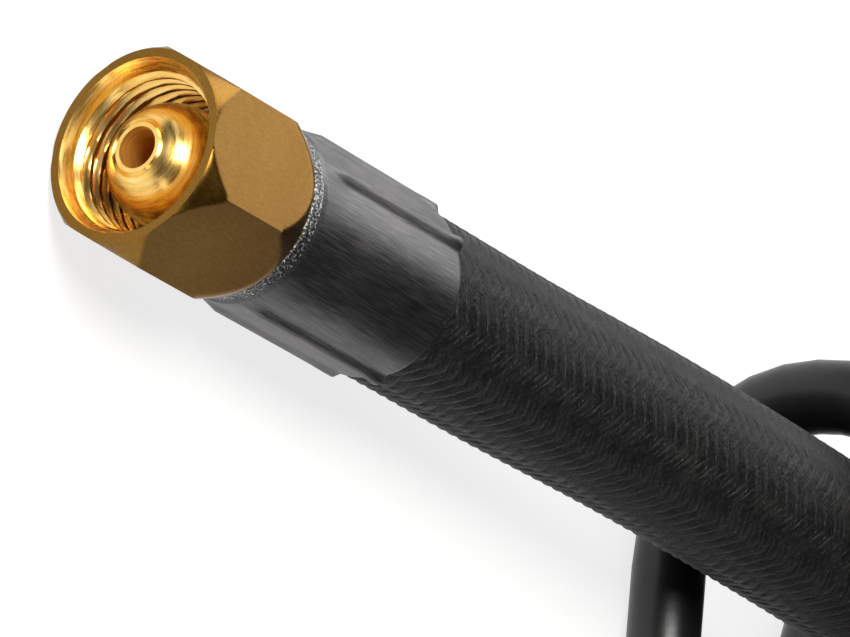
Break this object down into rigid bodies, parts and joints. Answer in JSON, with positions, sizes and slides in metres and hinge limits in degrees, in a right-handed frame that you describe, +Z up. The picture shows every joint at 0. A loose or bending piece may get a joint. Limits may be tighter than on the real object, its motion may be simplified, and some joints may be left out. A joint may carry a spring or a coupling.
{
  "type": "tig torch",
  "caption": "TIG welding torch with a leaning head, ceramic gas cup, long back cap and trigger, on a coiled braided lead that ends in a brass union nut.",
  "frame": {"origin": "on the floor under the middle of the torch itself, without its lead", "axes": "+X from the torch head back along the handle, +Z up; the torch lies on the flat of its handle"},
  "size_m": [0.4725, 0.4295, 0.0475],
  "materials": {
    "handle_plastic": "moulded, fine spark texture",
    "cap_plastic": "semi-gloss phenolic",
    "bright_steel": "zinc plated",
    "crimped_steel": "dark blued, brushed lengthwise",
    "nickel": "satin nickel plate",
    "brass": "machined, slightly oiled",
    "copper": "machined copper",
    "tungsten": "ground",
    "ceramic": "pink alumina, unglazed",
    "white_insulator": "waxy white",
    "orange_rubber": "silicone",
    "rubber": "moulded black rubber",
    "hose_braid": "black woven textile braid",
    "cable_jacket": "smooth black jacket",
    "tie_webbing": "dark grey hook-and-loop webbing",
    "grey_plastic": "moulded",
    "red_plastic": "moulded"
  },
  "bodies": {
    "root": {"handle_shell_upper": "handle_plastic", "handle_shell_lower": "handle_plastic", "handle_screw_front": "bright_steel", "handle_screw_rear": "bright_steel", "rear_boot": "rubber", "microswitch_body": "grey_plastic", "power_adapter": "brass", "handle_crimp_ferrule": "crimped_steel", "handle_crimped_hose_end": "rubber", "switch_wires": "cable_jacket", "torch_head_core": "brass", "torch_head_insulator": "rubber", "cup_gasket": "white_insulator", "collet_body": "copper", "collet": "copper", "ball_nipple": "brass", "crimp_ferrule": "crimped_steel", "crimped_hose_end": "rubber", "hose_tail": "hose_braid", "hose_end_stretch": "hose_braid", "hose_coil": "hose_braid", "cable_tail": "cable_jacket", "cable_over_coil": "cable_jacket", "cable_wrap": "cable_jacket", "cable_to_plug": "cable_jacket", "cable_coil": "cable_jacket", "hose_coil_tie_1": "tie_webbing", "hose_coil_tie_2": "tie_webbing", "hose_coil_tie_3": "tie_webbing", "cable_coil_tie_1": "tie_webbing", "cable_coil_tie_2": "tie_webbing", "plug_strain_relief": "rubber", "plug_shell": "nickel", "plug_insert": "grey_plastic", "plug_contacts": "brass"},
    "union_nut": {"union_nut": "brass"},
    "gas_cup": {"gas_cup": "ceramic"},
    "electrode": {"tungsten_electrode": "tungsten"},
    "cap_seal": {"back_cap_o_ring": "orange_rubber"},
    "back_cap": {"back_cap": "cap_plastic"},
    "trigger": {"trigger_button": "red_plastic", "trigger_spring": "bright_steel"},
    "switch_plunger": {"switch_plunger": "white_insulator"},
    "plug_ring": {"plug_coupling_ring": "nickel"}
  },
  "joints": [
    {"name": "union_nut_spin", "type": "hinge", "parent": "root", "child": "union_nut", "pos_m": [-0.05, -0.219, 0.0098], "axis": [0.9997, 0, 0.0262], "continuous": true},
    {"name": "gas_cup_unscrew", "type": "hinge", "parent": "root", "child": "gas_cup", "pos_m": [-0.08, 0.021, 0.017], "axis": [-0.342, 0.9397, 0], "range_deg": [0, 1080]},
    {"name": "electrode_slide", "type": "slide", "parent": "root", "child": "electrode", "axis": [-0.342, 0.9397, 0], "range_m": [-0.02, 0.01]},
    {"name": "back_cap_travel", "type": "slide", "parent": "root", "child": "cap_seal", "axis": [0.342, -0.9397, 0], "range_m": [0, 0.0075]},
    {"name": "back_cap_unscrew", "type": "hinge", "parent": "cap_seal", "child": "back_cap", "pos_m": [-0.08, 0.021, 0.017], "axis": [0.342, -0.9397, 0], "range_deg": [0, 2161]},
    {"name": "trigger_press", "type": "slide", "parent": "root", "child": "trigger", "axis": [0, 1, 0], "range_m": [0, 0.002], "stiffness_N_per_m": 600, "springref_m": -0.002},
    {"name": "switch_plunger_press", "type": "slide", "parent": "root", "child": "switch_plunger", "axis": [0, 1, 0], "range_m": [0, 0.002]},
    {"name": "plug_ring_spin", "type": "hinge", "parent": "root", "child": "plug_ring", "pos_m": [0.104, -0.268, 0.0098], "axis": [1, 0, 0], "continuous": true}
  ],
  "couplings": [
    {"joint": "back_cap_unscrew", "follows": "back_cap_travel", "rad_per_m": 5026.5},
    {"joint": "switch_plunger_press", "follows": "trigger_press", "ratio": 1}
  ]
}
